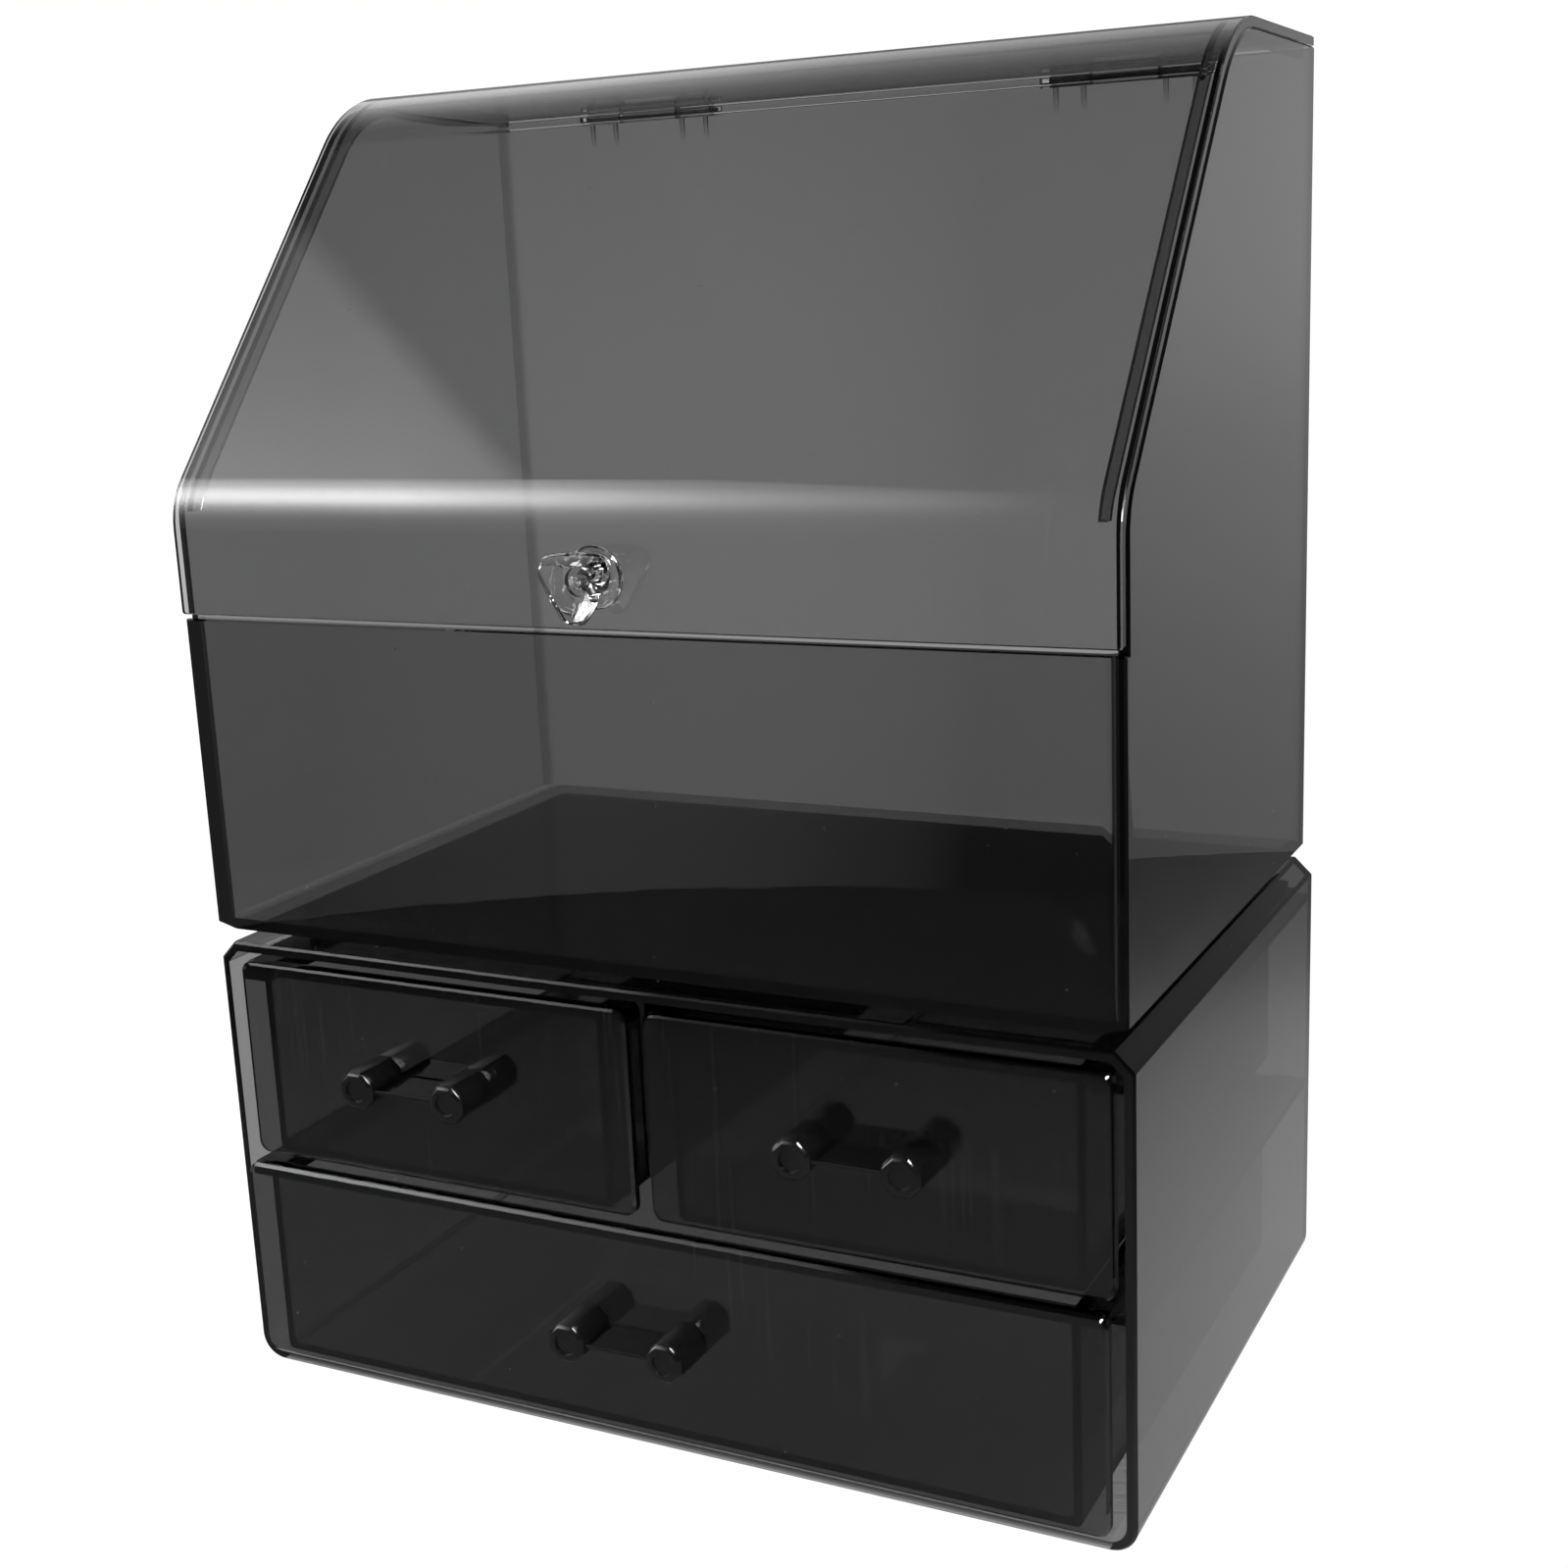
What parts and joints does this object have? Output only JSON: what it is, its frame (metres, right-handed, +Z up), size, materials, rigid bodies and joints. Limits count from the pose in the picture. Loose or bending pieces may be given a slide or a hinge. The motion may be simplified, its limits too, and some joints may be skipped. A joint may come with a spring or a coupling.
{
  "type": "makeup storage box with drawers",
  "caption": "Smoke-grey plastic makeup storage box: a display box with a sloped hinged lid and a crystal knob, standing on a case of drawers with black octagonal pulls.",
  "frame": {"origin": "middle of the whole closed box in plan, pulls counted, on the surface that the case stands on", "axes": "+Z up, -Y the side of the drawers and the lid's lip, +X to the right of someone facing the drawers from -Y"},
  "size_m": [0.24, 0.174, 0.3245],
  "materials": {
    "case_plastic": "glossy, see-through smoke grey",
    "box_plastic": "glossy, see-through smoke grey",
    "lid_plastic": "glossy, see-through smoke grey",
    "tray_plastic": "glossy, see-through smoke grey",
    "front_plastic": "glossy, deep smoke grey",
    "pull_plastic": "glossy black",
    "knob_crystal": "clear, faceted",
    "screw_steel": "plain steel",
    "pin_steel": "plain steel"
  },
  "bodies": {
    "case": {"case_shell": "case_plastic", "centre_divider": "case_plastic"},
    "display": {"display_box": "box_plastic", "hinge_pin_left": "pin_steel", "hinge_pin_right": "pin_steel"},
    "lid": {"lid": "lid_plastic", "knob": "knob_crystal", "knob_screw": "screw_steel"},
    "drawer_left": {"front_left": "front_plastic", "tray_left": "tray_plastic", "pull_left": "pull_plastic", "pull_screws_left": "screw_steel"},
    "drawer_right": {"front_right": "front_plastic", "tray_right": "tray_plastic", "pull_right": "pull_plastic", "pull_screws_right": "screw_steel"},
    "drawer_bottom": {"front_bottom": "front_plastic", "tray_bottom": "tray_plastic", "pull_bottom": "pull_plastic", "pull_screws_bottom": "screw_steel"}
  },
  "joints": [
    {"name": "display_box_lift", "type": "slide", "parent": "case", "child": "display", "axis": [0, 0, 1], "range_m": [0, 0.05]},
    {"name": "lid_hinge", "type": "hinge", "parent": "display", "child": "lid", "pos_m": [0, 0.0813, 0.3198], "axis": [-1, 0, 0], "range_deg": [0, 110]},
    {"name": "drawer_left_slide", "type": "slide", "parent": "case", "child": "drawer_left", "axis": [0, -1, 0], "range_m": [0, 0.12]},
    {"name": "drawer_right_slide", "type": "slide", "parent": "case", "child": "drawer_right", "axis": [0, -1, 0], "range_m": [0, 0.12]},
    {"name": "drawer_bottom_slide", "type": "slide", "parent": "case", "child": "drawer_bottom", "axis": [0, -1, 0], "range_m": [0, 0.12]}
  ]
}
